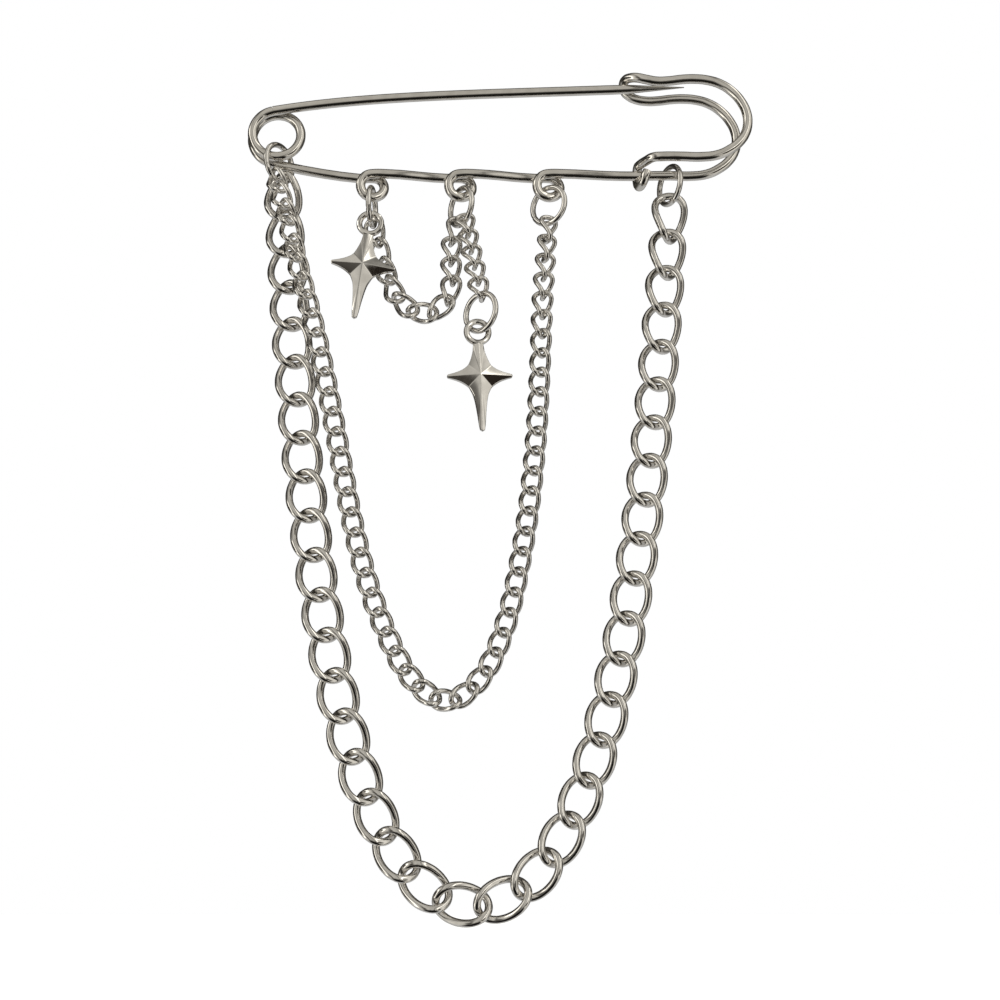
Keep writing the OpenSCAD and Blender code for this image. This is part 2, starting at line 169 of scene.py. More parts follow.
# The room is white to the eye. The metal mirrors another one: light and dark strips from left to
# right, covered in turn by the sides, with a dark end behind, white paper below and dark spots in
# front
room = {
    "seen": (1.0, 1.0, 1.0, 1),
    # how far soft patches push the strips aside
    "patchScale": 2.2, "patchDetail": 1.5, "patchDark": 0.3, "patchLight": 0.7,
    "patchLeast": 0.96, "patchMost": 1.04,
    # from left to right: place between 0 and 1, brightness
    "across": [
        (0.0, 0.03), (0.03, 0.12), (0.05, 2.20), (0.075, 1.80), (0.10, 0.64), (0.16, 0.55),
        (0.19, 0.46), (0.225, 0.18), (0.25, 0.22), (0.30, 0.50), (0.36, 0.56), (0.40, 0.55),
        (0.44, 0.48), (0.50, 0.47), (0.56, 0.48), (0.60, 0.50), (0.625, 0.20), (0.64, 0.20),
        (0.665, 0.60), (0.70, 0.66), (0.72, 0.75), (0.737, 2.20), (0.757, 2.00), (0.775, 0.70),
        (0.838, 0.58), (0.881, 0.80), (0.95, 0.80), (0.985, 0.40), (1.0, 0.05)],
    "tint": (1.0, 0.965, 0.88),
    # direction, where the side begins and is full, how much of it, colour
    "sides": [
        ((0.0, 1.0, 0.0), -0.14, 0.18, 0.95, (0.03, 0.0275, 0.022, 1)),
        ((-0.68, 0.25, 0.69), 0.84, 0.94, 0.7, (0.012, 0.011, 0.010, 1)),
        ((0.0, 0.55, -0.835), 0.25, 0.80, 0.5, (0.95, 0.95, 0.94, 1)),
        ((-0.08, -0.68, -0.73), 0.80, 0.94, 0.6, (0.07, 0.064, 0.058, 1)),
        ((-0.02, -0.385, -0.922), 0.72, 0.90, 1.0, (0.010, 0.009, 0.008, 1)),
        ((0.63, -0.70, -0.33), 0.94, 0.978, 1.0, (0.025, 0.02, 0.016, 1)),
        ((0.21, -0.90, -0.38), 0.9915, 0.9968, 1.0, (0.02, 0.016, 0.013, 1)),
        ((-0.55, -0.80, -0.23), 0.965, 0.988, 0.85, (0.03, 0.025, 0.02, 1)),
        ((-0.13, -0.905, -0.40), 0.9925, 0.9980, 0.9, (0.03, 0.025, 0.02, 1)),
        ((-0.56, -0.825, 0.04), 0.97, 0.9945, 0.75, (0.12, 0.112, 0.102, 1)),
    ],
}


def buildRoom():
    world = bpy.data.worlds.new("studio")
    scene.world = world
    world.use_nodes = True
    nodes, links = world.node_tree.nodes, world.node_tree.links
    nodes.clear()
    out = nodes.new("ShaderNodeOutputWorld")
    mix = nodes.new("ShaderNodeMixShader")
    path = nodes.new("ShaderNodeLightPath")
    plain = nodes.new("ShaderNodeBackground")
    plain.inputs["Color"].default_value = room["seen"]
    mirrored = nodes.new("ShaderNodeBackground")
    place = nodes.new("ShaderNodeTexCoord")
    split = nodes.new("ShaderNodeSeparateXYZ")
    links.new(place.outputs["Generated"], split.inputs["Vector"])
    patches = nodes.new("ShaderNodeTexNoise")
    patches.inputs["Scale"].default_value = room["patchScale"]
    patches.inputs["Detail"].default_value = room["patchDetail"]
    links.new(place.outputs["Generated"], patches.inputs["Vector"])
    uneven = remap(nodes, room["patchDark"], room["patchLight"], room["patchLeast"], room["patchMost"])
    links.new(patches.outputs["Fac"], uneven.inputs["Value"])
    shifted = nodes.new("ShaderNodeMath")
    shifted.operation = "MULTIPLY"
    links.new(split.outputs["X"], shifted.inputs[0])
    links.new(uneven.outputs["Result"], shifted.inputs[1])
    across = remap(nodes, -1.0, 1.0)
    links.new(shifted.outputs["Value"], across.inputs["Value"])
    ramp = nodes.new("ShaderNodeValToRGB")
    bar = ramp.color_ramp
    stops = [(position, tuple(bright * share for share in room["tint"]) + (1,))
             for position, bright in room["across"]]
    bar.elements[0].position, bar.elements[0].color = stops[0]
    bar.elements[1].position, bar.elements[1].color = stops[-1]
    for position, colour in stops[1:-1]:
        bar.elements.new(position).color = colour
    links.new(across.outputs["Result"], ramp.inputs["Fac"])
    colour = ramp.outputs["Color"]
    for way, low, high, share, shade in room["sides"]:
        toward = nodes.new("ShaderNodeVectorMath")
        toward.operation = "DOT_PRODUCT"
        toward.inputs[1].default_value = way
        links.new(place.outputs["Generated"], toward.inputs[0])
        side = remap(nodes, low, high, toHigh=share)
        side.interpolation_type = "SMOOTHSTEP"
        links.new(toward.outputs["Value"], side.inputs["Value"])
        layer = nodes.new("ShaderNodeMix")
        layer.data_type = "RGBA"
        links.new(side.outputs["Result"], layer.inputs["Factor"])
        links.new(colour, layer.inputs[mixLow])
        layer.inputs[mixHigh].default_value = shade
        colour = layer.outputs[mixOut]
    links.new(colour, mirrored.inputs["Color"])
    links.new(path.outputs["Is Camera Ray"], mix.inputs["Fac"])
    links.new(mirrored.outputs["Background"], mix.inputs[1])    # what the metal and the floor get
    links.new(plain.outputs["Background"], mix.inputs[2])       # what the camera sees
    links.new(mix.outputs["Shader"], out.inputs["Surface"])


buildRoom()

# Soft panels that light the metal but don't show in it
lampAim = (0, 0, -0.04)
lamps = {
    # name: place, width, height, watts
    "leftPanel": ((-0.55, -0.35, 0.30), 0.12, 0.6, 0.55),
    "rightPanel": ((0.60, -0.25, 0.15), 0.10, 0.6, 0.45),
    "topPanel": ((0.0, 0.10, 0.75), 0.8, 0.6, 1.6),
}
for name, (place, width, height, watts) in lamps.items():
    bpy.ops.object.light_add(type="AREA", location=place)
    lamp = bpy.context.object
    lamp.name = name
    lamp.data.shape = "RECTANGLE"
    lamp.data.size = width
    lamp.data.size_y = height
    lamp.data.energy = watts
    lamp.rotation_euler = (Vector(lampAim) - Vector(place)).to_track_quat("-Z", "Y").to_euler()
    lamp.visible_camera = False
    lamp.visible_glossy = False
scene.view_settings.view_transform = "Standard"
print("camera, floor and light are ready")


polish = {
    "cloudScale": 900.0, "cloudDetail": 3, "cloudDark": 0.35, "cloudLight": 0.6,
    "lineScale": 2600.0, "lineDetail": 4, "lineStretch": 0.2, "lineTurn": (0.3, 0.7, 0.5),
    "marksLeast": 0.12, "marksMost": 0.4, "bumpHeight": 0.00002,
}


# Fine hairlines and handling marks: puts out a roughness mask and a height
def buildPolishMarks():
    group = bpy.data.node_groups.new("polishMarks", "ShaderNodeTree")
    starts = {"Cloud Scale": polish["cloudScale"], "Line Scale": polish["lineScale"],
              "Line Stretch": polish["lineStretch"]}
    for label, start in starts.items():
        socket = group.interface.new_socket(name=label, in_out="INPUT", socket_type="NodeSocketFloat")
        socket.default_value = start
    for label in ("Marks", "Height"):
        group.interface.new_socket(name=label, in_out="OUTPUT", socket_type="NodeSocketFloat")
    nodes, links = group.nodes, group.links
    source = nodes.new("NodeGroupInput")
    out = nodes.new("NodeGroupOutput")
    place = nodes.new("ShaderNodeTexCoord")
    cloud = nodes.new("ShaderNodeTexNoise")
    cloud.inputs["Detail"].default_value = polish["cloudDetail"]
    links.new(place.outputs["Object"], cloud.inputs["Vector"])
    links.new(source.outputs["Cloud Scale"], cloud.inputs["Scale"])
    turn = nodes.new("ShaderNodeMapping")
    turn.inputs["Rotation"].default_value = polish["lineTurn"]
    stretch = nodes.new("ShaderNodeCombineXYZ")
    stretch.inputs["X"].default_value = 1.0
    stretch.inputs["Z"].default_value = 1.0
    links.new(source.outputs["Line Stretch"], stretch.inputs["Y"])
    links.new(stretch.outputs["Vector"], turn.inputs["Scale"])
    links.new(place.outputs["Object"], turn.inputs["Vector"])
    lines = nodes.new("ShaderNodeTexNoise")
    lines.inputs["Detail"].default_value = polish["lineDetail"]
    links.new(turn.outputs["Vector"], lines.inputs["Vector"])
    links.new(source.outputs["Line Scale"], lines.inputs["Scale"])
    both = nodes.new("ShaderNodeMath")
    both.operation = "MULTIPLY"
    links.new(cloud.outputs["Fac"], both.inputs[0])
    links.new(lines.outputs["Fac"], both.inputs[1])
    links.new(both.outputs["Value"], out.inputs["Marks"])
    links.new(cloud.outputs["Fac"], out.inputs["Height"])
    return group


polishMarks = buildPolishMarks()


# One plated metal with its own colour, shine and amount of marks for each kind of piece
def buildSilver(name, light, dark, smooth, rough, bump, cloudScale):
    material = bpy.data.materials.new(name)
    material.use_nodes = True
    nodes, links = material.node_tree.nodes, material.node_tree.links
    shader = nodes["Principled BSDF"]
    shader.inputs["Metallic"].default_value = 1.0
    marks = nodes.new("ShaderNodeGroup")
    marks.node_tree = polishMarks
    marks.inputs["Cloud Scale"].default_value = cloudScale
    tone = nodes.new("ShaderNodeMix")
    tone.data_type = "RGBA"
    tone.inputs[mixLow].default_value = (*dark, 1)
    tone.inputs[mixHigh].default_value = (*light, 1)
    spread = remap(nodes, polish["cloudDark"], polish["cloudLight"])
    links.new(marks.outputs["Height"], spread.inputs["Value"])
    links.new(spread.outputs["Result"], tone.inputs["Factor"])
    links.new(tone.outputs[mixOut], shader.inputs["Base Color"])
    dull = remap(nodes, polish["marksLeast"], polish["marksMost"], smooth, rough)
    links.new(marks.outputs["Marks"], dull.inputs["Value"])
    links.new(dull.outputs["Result"], shader.inputs["Roughness"])
    relief = nodes.new("ShaderNodeBump")
    relief.inputs["Strength"].default_value = bump
    relief.inputs["Distance"].default_value = polish["bumpHeight"]
    links.new(marks.outputs["Height"], relief.inputs["Height"])
    links.new(relief.outputs["Normal"], shader.inputs["Normal"])
    return material


pinSilver = buildSilver("pinSilver", light=(0.84, 0.815, 0.775), dark=(0.74, 0.715, 0.675),
                        smooth=0.08, rough=0.15, bump=0.05, cloudScale=700)
linkSilver = buildSilver("linkSilver", light=(0.86, 0.84, 0.81), dark=(0.70, 0.68, 0.65),
                         smooth=0.07, rough=0.12, bump=0.03, cloudScale=900)
starSilver = buildSilver("starSilver", light=(0.86, 0.84, 0.81), dark=(0.74, 0.72, 0.69),
                         smooth=0.05, rough=0.11, bump=0.14, cloudScale=800)
print("metal is ready")


# The pin is one bent wire: coil, spine with three loops, bow and wrapped end, and the arm on a cut at
# the top of the coil. Sizes are in mm and angles in degrees
pin = {
    "wire": 1.2, "gapHeight": 11.6, "gapShift": 0.4, "sides": 20, "steps": 5,
    "coilReach": 23.1, "coilRadius": 3.0, "coilHeight": 5.05, "coilSpread": 0.35, "coilEnd": 620,
    "coilSteps": 26, "turnGap": 0.14,
    "loopSpacing": 11.1, "loopShift": 0.1, "loopRadius": 1.45, "loopLead": 1.8, "loopSteps": 16,
    "tipReach": 28.5, "tipLength": 7.4, "tipWidth": 0.12, "tipSlope": 2.3, "tipHold": 0.5,
    "armSlope": 9.0, "armLead": 0.5, "armHold": 0.25, "armSteps": 32, "armSmooth": 3,
    "bowReach": 22.1, "bowLength": 14.1, "bowClear": 0.45, "bowDepth": 2.7, "bowShift": 1.1,
    "bowRise": 1.35, "bowLead": 2,
    "wrapGap": 0.1, "wrapStart": 96, "wrapTurn": 280, "wrapPlace": 0.4, "wrapDrift": 0.75,
    "wrapBack": 1.6, "wrapSteps": 22, "endReach": 0.5, "endSoft": 0.09, "endSegments": 2,
    # along the spine in wire thicknesses, back as a share of the bow's depth, up in thicknesses
    "wrapLead": [(2.60, 0.00, 0.04), (1.85, 0.10, 0.08), (1.12, 0.50, 0.08)],
    # the front arch from mouth to foot, in shares of the bow's length and height
    "bowOutline": [
        (0.10, 0.995), (0.20, 0.970), (0.31, 0.975), (0.43, 0.995), (0.54, 1.000), (0.65, 0.985),
        (0.765, 0.935), (0.87, 0.835), (0.95, 0.700), (0.993, 0.555), (1.000, 0.440), (0.977, 0.305),
        (0.920, 0.187), (0.833, 0.093), (0.724, 0.025), (0.580, 0.000), (0.400, 0.005)],
    # measured as wrapLead is, from the front arch over the arm to the back one
    "mouthBend": [
        (0.30, 0.06, 0.22), (-0.35, 0.24, 0.42), (-0.85, 0.50, 0.50),
        (-1.05, 0.80, 0.25), (-0.90, 0.96, -0.30), (-0.35, 1.00, -0.85)],
    "socketWidth": 0.96, "socketDepth": 0.9, "tongueWidth": 0.84, "tongueTurn": 12, "tongueSteps": 3,
    "slit": 0.012,
}
tipZ = pin["gapShift"] + pin["gapHeight"] / 2
spineZ = pin["gapShift"] - pin["gapHeight"] / 2
coilX = -pin["coilReach"]
coilZ = spineZ + pin["coilHeight"]
turnPitch = pin["wire"] + pin["turnGap"]
armAngle = 90 + pin["armSlope"]
coilY = -turnPitch * (pin["coilEnd"] - armAngle) / 360
loopZ = spineZ - pin["loopRadius"]
footZ = spineZ + pin["bowRise"]
mouthZ = tipZ + pin["bowClear"]
bowHeight = mouthZ - footZ


# A place on the coil's middle line, whose last half turn opens out toward the spine
def coilPoint(angle):
    opened = max(0.0, (angle - (pin["coilEnd"] - 180)) / 180)
    r = pin["coilRadius"] + pin["coilSpread"] * opened
    a = math.radians(angle)
    return (coilX + r * math.cos(a), coilY + turnPitch * (angle - armAngle) / 360,
            coilZ + r * math.sin(a))


def loopX(i):
    return (i - 2) * pin["loopSpacing"] + pin["loopShift"]


def loopPoints(i):
    points = [(loopX(i) - pin["loopLead"], turnPitch / 2, spineZ)]
    for k in range(pin["loopSteps"] + 1):
        a = math.radians(90 - 360 * k / pin["loopSteps"])
        points.append((loopX(i) + pin["loopRadius"] * math.cos(a),
                       turnPitch / 2 * math.cos(math.pi * k / pin["loopSteps"]),
                       loopZ + pin["loopRadius"] * math.sin(a)))
    points.append((loopX(i) + pin["loopLead"], -turnPitch / 2, spineZ))
    return points


# The bow's front arch, from the mouth to the foot
def bowFront():
    return [(pin["bowReach"] + x * pin["bowLength"], -pin["bowDepth"], footZ + z * bowHeight)
            for x, z in pin["bowOutline"]]


# A point beside the bow from its shares, with its height above a base
def besideBow(x, y, z, base):
    return (pin["bowReach"] + x * pin["wire"], pin["bowDepth"] * (y - 1), base + z * pin["wire"])


def pinPoints():
    points = [coilPoint(armAngle + math.degrees(pin["slit"] / pin["coilRadius"])
                        + (pin["coilEnd"] - armAngle) * k / pin["coilSteps"])
              for k in range(pin["coilSteps"] + 1)]
    for i in (1, 2, 3):
        points += loopPoints(i)
    points.append((pin["bowReach"] - pin["bowLead"], 0, spineZ))
    back = [(x - pin["bowShift"], y + pin["bowDepth"], z - pin["bowRise"]) for x, y, z in bowFront()]
    points += back[::-1]
    points += [besideBow(*shares, mouthZ) for shares in reversed(pin["mouthBend"])]
    points += bowFront()
    points += [besideBow(*shares, footZ) for shares in pin["wrapLead"]]
    wrapRadius = pin["wire"] + pin["wrapGap"]
    for k in range(pin["wrapSteps"] + 1):
        t = k / pin["wrapSteps"]
        a = math.radians(pin["wrapStart"] - pin["wrapTurn"] * t)
        along = pin["wrapPlace"] - pin["wrapDrift"] * t + pin["wrapBack"] * t * t
        points.append((pin["bowReach"] + along * pin["wire"], wrapRadius * math.cos(a),
                       spineZ + wrapRadius * math.sin(a)))
    return points


# The arm's curve from the coil to the tip, with shares of the wire's thickness that come to a point
def armPoints():
    start = Vector(coilPoint(armAngle))
    tip = Vector((pin["tipReach"], -pin["bowDepth"] / 2, tipZ))
    reach = tip.x - start.x
    a, b = math.radians(pin["armSlope"]), math.radians(pin["tipSlope"])
    near = start + Vector((pin["armHold"] * reach * math.cos(a), -pin["armLead"],
                           pin["armHold"] * reach * math.sin(a)))
    far = tip - pin["tipHold"] * reach * Vector((math.cos(b), 0, math.sin(b)))
    points, shares = [], []
    for k in range(pin["armSteps"] + 1):
        t = k / pin["armSteps"]
        p = ((1 - t) ** 3 * start + 3 * (1 - t) ** 2 * t * near + 3 * (1 - t) * t * t * far
             + t ** 3 * tip)
        sharpened = max(0.0, (p.x - pin["tipReach"] + pin["tipLength"]) / pin["tipLength"])
        points.append(p)
        shares.append(1 - (1 - pin["tipWidth"] / pin["wire"]) * sharpened)
    return points, shares


# Picks the end face of a wire at a place
def selectCap(obj, place):
    pick(obj)
    bpy.ops.object.mode_set(mode="EDIT")
    bpy.ops.mesh.select_mode(type="FACE")
    bpy.ops.mesh.select_all(action="DESELECT")
    bpy.ops.object.mode_set(mode="OBJECT")
    for face in obj.data.polygons:
        near = (face.center - Vector(place) * mm).length < pin["endReach"] * mm
        face.select = len(face.vertices) > 4 and near
    bpy.ops.object.mode_set(mode="EDIT")


def buildPinWire():
    points = pinPoints()
    wire = drawWire("pinWire", points, pin["wire"], pin["sides"], pin["steps"])
    # a socket in the coil's end, which the arm's tongue slides in
    selectCap(wire, points[0])
    bpy.ops.mesh.inset(thickness=(pin["wire"] - pin["socketWidth"]) / 2 * mm)
    inward = (Vector(points[1]) - Vector(points[0])).normalized()
    depth = inward * pin["socketDepth"] * mm
    bpy.ops.mesh.extrude_region_move(TRANSFORM_OT_translate={"value": depth})
    bpy.ops.object.mode_set(mode="OBJECT")
    # the cut end of the wrap is softened
    selectCap(wire, points[-1])
    bpy.ops.mesh.bevel(offset=pin["endSoft"] * mm, segments=pin["endSegments"], affect="EDGES")
    bpy.ops.object.mode_set(mode="OBJECT")
    facesOut(wire)
    finishPiece(wire, "pinWire", "frame", pinSilver, ["pin_frame"])


def buildArm():
    points, shares = armPoints()
    arm = drawWire("arm", points, pin["wire"], pin["sides"], pin["armSmooth"], shares=shares)
    selectCap(arm, points[0])
    bpy.ops.mesh.inset(thickness=(pin["wire"] - pin["tongueWidth"]) / 2 * mm)
    # the tongue follows the coil in short steps
    here = Vector(points[0])
    for k in range(1, pin["tongueSteps"] + 1):
        there = Vector(coilPoint(armAngle + pin["tongueTurn"] * k / pin["tongueSteps"]))
        bpy.ops.mesh.extrude_region_move(TRANSFORM_OT_translate={"value": (there - here) * mm})
        here = there
    bpy.ops.object.mode_set(mode="OBJECT")
    facesOut(arm)
    finishPiece(arm, "arm", "arm", pinSilver, ["pin_arm"])


buildPinWire()
buildArm()
print("bent wire is ready")


# Jump rings, each with the fine line where it was closed. Sizes are in mm and angles in degrees
ring = {
    "radius": 2.4, "wire": 0.7, "around": 72, "sides": 18, "clearance": 0.12, "slantRest": 0.13,
    "seamAt": 205, "seamHalf": 0.035, "seamDepth": 0.05, "seamReach": 0.9, "seamThick": 0.6,
    "seamRow": 0.004,
}
# Chains. A hang says how far beside a ring's lowest place the chain's first and last link sit. A roll
# is the turn of the middle links, then the first link's extra turn and the count of links that it
# fades over, and the same for the last link
chain = {
    "gap": 0.12, "bendSlack": 0.25, "mostSlack": 0.12, "linkSmooth": 3, "routeSteps": 8,
    "longWidth": 5.0, "longWire": 0.9, "longPitch": 4.88, "longCount": 39, "longTwist": 0.7,
    "longSides": 16, "longPoints": 20, "longHang": (0.6, 0), "longRoll": (0, -15, 4, -30, 4),
    "fineWidth": 2.7, "fineWire": 0.6, "finePitch": 2.48, "fineCount": 54, "fineTwist": 0.95,
    "fineSides": 12, "finePoints": 14, "fineHang": (-0.9, 0), "fineRoll": (0, -8, 4, -70, 7),
    "swagCount": 11, "swagHang": (0.8, -0.8), "swagRoll": (-25, 40, 3, -23, 4),
    "dropCount": 5, "dropHang": 0.8, "dropRoll": (35, 17, 4, 0, 1), "dropPitch": 2.15, "dropSlope": 11,
    "fineRoute": [
        (-21.2, -2.8, -12.5), (-19.6, -2.9, -19), (-17.4, -2.7, -27), (-15.6, -2, -35),
        (-14, -1.4, -43), (-12.6, -1, -50), (-10.8, -0.6, -57), (-8.6, -0.4, -63),
        (-5.4, -0.2, -69), (-1, 0, -71.9), (3.2, 0, -68.6), (5.8, 0, -62.5),
        (7.4, 0, -55.5), (8.6, 0, -48), (9.5, 0, -39), (10, 0, -30), (10.4, 0, -21)],
    "swagRoute": [
        (-10.1, 1.3, -14.8), (-9.2, 1.2, -18), (-8.2, 1, -20.7), (-7, 0.9, -22.4), (-5.1, 0.8, -23.6),
        (-3, 0.7, -23.5), (-1.5, 0.6, -22.1), (-0.9, 0.6, -19.6), (-1.1, 0.7, -14.8)],
}
# From the middle of a pin wire to that of a ring on it, the height of the rings on the loops, and
# from the middle of a ring to a chain's joint in it
hook = (pin["wire"] + ring["wire"]) / 2 + ring["clearance"]
loopTop = loopZ - pin["loopRadius"] + hook - ring["radius"]
ringRest = (ring["wire"] + chain["gap"]) / 2


# A place on a ring's middle line, t mm beside its lowest place
def ringLow(spot, t):
    place, turn = spot
    a = math.radians(turn)
    low = math.sqrt(ring["radius"] ** 2 - t * t)
    return Vector(place) + Vector((t * math.cos(a), t * math.sin(a), -low))


# The joint of a chain that hangs there: the middle of the gap between ring and link
def hung(spot, t):
    return ringLow(spot, t) + Vector((0, 0, ringRest + ring["slantRest"] * t * t))


# Each ring's centre in mm and its turn about the vertical in degrees
ringSpots = {
    "coil_ring": ((coilX + 0.35, coilY / 3, coilZ - pin["coilRadius"] + hook - ring["radius"] + 0.7),
                  56),
    "loop_ring_1": ((loopX(1), 0, loopTop + 0.03), 84),
    "loop_ring_2": ((loopX(2) + 0.1, 0, loopTop + 0.06), -55),
    "loop_ring_3": ((loopX(3), 0, loopTop + 0.21), -36),
    "bow_ring": ((pin["bowReach"] + 4.4, 0, spineZ + hook - ring["radius"] + 0.06), -63),
}
dropStart = hung(ringSpots["loop_ring_2"], chain["dropHang"])
dropLean = math.radians(chain["dropSlope"])
dropWay = Vector((math.sin(dropLean), 0, -math.cos(dropLean)))
dropEnd = dropStart + chain["dropPitch"] * chain["dropCount"] * dropWay
ringSpots["star_ring"] = (tuple(dropEnd + Vector((0, 0, ringRest - ring["radius"]))), -40)


def buildRing(node, place, turn):
    clearSelection()
    bpy.ops.mesh.primitive_torus_add(
        major_segments=ring["around"], minor_segments=ring["sides"],
        major_radius=ring["radius"] * mm, minor_radius=ring["wire"] / 2 * mm, location=(0, 0, 0))
    piece = bpy.context.object
    bpy.ops.object.mode_set(mode="EDIT")
    # the saw cut where the ring was closed: two cuts beside it and a sunk line between them
    seam = math.radians(ring["seamAt"])
    across = Vector((-math.sin(seam), math.cos(seam), 0))
    middle = Vector((math.cos(seam), math.sin(seam), 0)) * ring["radius"] * mm
    for side in (-1, 0, 1):
        bpy.ops.mesh.select_all(action="DESELECT")
        bpy.ops.object.mode_set(mode="OBJECT")
        for face in piece.data.polygons:
            near = (face.center - middle).length < ring["seamReach"] * mm
            face.select = face.center.dot(middle) > 0 and near
        bpy.ops.object.mode_set(mode="EDIT")
        cut = middle + across * side * ring["seamHalf"] * mm
        bpy.ops.mesh.bisect(plane_co=cut, plane_no=across)
    bpy.ops.mesh.select_all(action="DESELECT")
    bpy.ops.object.mode_set(mode="OBJECT")
    for vertex in piece.data.vertices:
        off = vertex.co - middle
        vertex.select = (abs(off.dot(across)) < ring["seamRow"] * mm
                         and off.length < ring["seamThick"] * mm)
    bpy.ops.object.mode_set(mode="EDIT")
    shrink = 1 - ring["seamDepth"] / (ring["wire"] / 2)
    bpy.ops.transform.resize(value=(shrink, shrink, shrink), center_override=middle)
    bpy.ops.object.mode_set(mode="OBJECT")
    piece.matrix_world = (Matrix.Translation(Vector(place) * mm)
                          @ Matrix.Rotation(math.radians(turn), 4, "Z")
                          @ Matrix.Rotation(math.radians(90), 4, "X"))
    freeze(piece)
    finishPiece(piece, node.replace("_", ""), "frame", linkSilver, [node])


for node, (place, turn) in ringSpots.items():
    buildRing(node, place, turn)
print("jump rings are ready")


# A smooth line through points, with each stretch in equal steps
def smoothRoute(points, steps):
    pts = [Vector(p) for p in points]
    last = len(pts) - 1
    out = []
    for i in range(last):
        a, b, c, d = pts[max(i - 1, 0)], pts[i], pts[i + 1], pts[min(i + 2, last)]
        for k in range(steps):
            t = k / steps
            out.append(0.5 * (2 * b + (c - a) * t + (2 * a - 5 * b + 4 * c - d) * t * t
                              + (3 * b - a - 3 * c + d) * t ** 3))
    return out + [pts[last]]


# Joints of a chain at equal distances along a line
def jointsAlong(route, count):
    lengths = [0.0]
    for a, b in zip(route, route[1:]):
        lengths.append(lengths[-1] + (b - a).length)
    joints, k = [], 0
    for i in range(count + 1):
        want = lengths[-1] * i / count
        while k < len(route) - 2 and lengths[k + 1] < want:
            k += 1
        share = (want - lengths[k]) / (lengths[k + 1] - lengths[k])
        joints.append(route[k].lerp(route[k + 1], share))
    return joints


# Joints of a chain that hangs free between two places
def hangingJoints(start, end, pitch, count):
    span, rise, total = end.x - start.x, end.z - start.z, pitch * count
    ratio = math.sqrt(total * total - rise * rise) / span
    # halving finds the curve whose length is the chain's
    low, high, halvings = 0.01, 12.0, 40
    for _ in range(halvings):
        mid = (low + high) / 2
        if math.sinh(mid) / mid < ratio:
            low = mid
        else:
            high = mid
    number = (low + high) / 2
    sag = span / (2 * number)
    first = sag * math.sinh(-number + math.log((total + rise) / (total - rise)) / 2)
    lowX = start.x - sag * math.asinh(first / sag)
    lowZ = start.z - math.sqrt(sag * sag + first * first)
    joints = []
    for i in range(count + 1):
        s = first + pitch * i
        joints.append(Vector((lowX + sag * math.asinh(s / sag), start.y + (end.y - start.y) * i / count,
                              lowZ + math.sqrt(sag * sag + s * s))))
    return joints


# Turns of a chain's links about its run, in degrees
def rolls(count, middle, first, firstLinks, last, lastLinks):
    def fade(i, links):
        return max(0.0, 1 - i / links)
    return [middle + first * fade(i, firstLinks) + last * fade(count - 1 - i, lastLinks)
            for i in range(count)]


# How sharply a chain turns at a joint
def bendAt(joints, i):
    if i == 0 or i == len(joints) - 1:
        return 0.0
    before, after = joints[i] - joints[i - 1], joints[i + 1] - joints[i]
    return (before.normalized() - after.normalized()).length


# One link, modelled upright at the origin, that every copy comes from
def modelLink(name, width, wire, pitch, twist, sides, count):
    halfWidth, halfLength = (width - wire) / 2, (pitch + wire + chain["gap"]) / 2
    depth = twist * (wire + chain["gap"])
    points = []
    for k in range(count):
        a = math.radians(90 + 360 * k / count)
        points.append((halfWidth * math.cos(a), -depth * math.sin(2 * a), halfLength * math.sin(a)))
    return drawWire(name, points, wire, sides, chain["linkSmooth"], closed=True), halfLength


# A copy of the model between two joints, a little longer where the chain bends
def layLink(model, halfLength, joints, i, roll, wire):
    start, end = joints[i], joints[i + 1]
    along = (end - start).normalized()
    level = Vector((0, -1, 0)).cross(along).normalized()
    a = math.radians(roll)
    side = math.cos(a) * level - math.sin(a) * along.cross(level)
    face = along.cross(side)
    bend = max(bendAt(joints, i), bendAt(joints, i + 1))
    slack = min(chain["mostSlack"], chain["bendSlack"] * bend)
    stretch = (((end - start).length + wire + chain["gap"]) / 2 + slack) / halfLength
    copy = model.copy()
    copy.data = model.data.copy()
    scene.collection.objects.link(copy)
    middle = (start + end) / 2 * mm
    copy.matrix_world = Matrix((
        (side.x, face.x, along.x * stretch, middle.x),
        (side.y, face.y, along.y * stretch, middle.y),
        (side.z, face.z, along.z * stretch, middle.z),
        (0, 0, 0, 1)))
    freeze(copy)
    return copy


def joinPieces(pieces):
    clearSelection()
    for piece in pieces:
        piece.select_set(True)
    bpy.context.view_layer.objects.active = pieces[0]
    bpy.ops.object.join()
    return pieces[0]


longJoints = hangingJoints(hung(ringSpots["coil_ring"], chain["longHang"][0]),
                           hung(ringSpots["bow_ring"], chain["longHang"][1]),
                           chain["longPitch"], chain["longCount"])
longModel, longHalf = modelLink("longModel", chain["longWidth"], chain["longWire"], chain["longPitch"],
                                chain["longTwist"], chain["longSides"], chain["longPoints"])
for i, roll in enumerate(rolls(chain["longCount"], *chain["longRoll"])):
    link = layLink(longModel, longHalf, longJoints, i, roll, chain["longWire"])
    finishPiece(link, f"longLink{i + 1}", "frame", linkSilver, [f"long_link_{i + 1}"])
print("long chain is ready")

fineModel, fineHalf = modelLink("fineModel", chain["fineWidth"], chain["fineWire"], chain["finePitch"],
                                chain["fineTwist"], chain["fineSides"], chain["finePoints"])


def buildFine(name, node, joints, turns):
    links = [layLink(fineModel, fineHalf, joints, i, roll, chain["fineWire"])
             for i, roll in enumerate(turns)]
    finishPiece(joinPieces(links), name, "frame", linkSilver, [node])


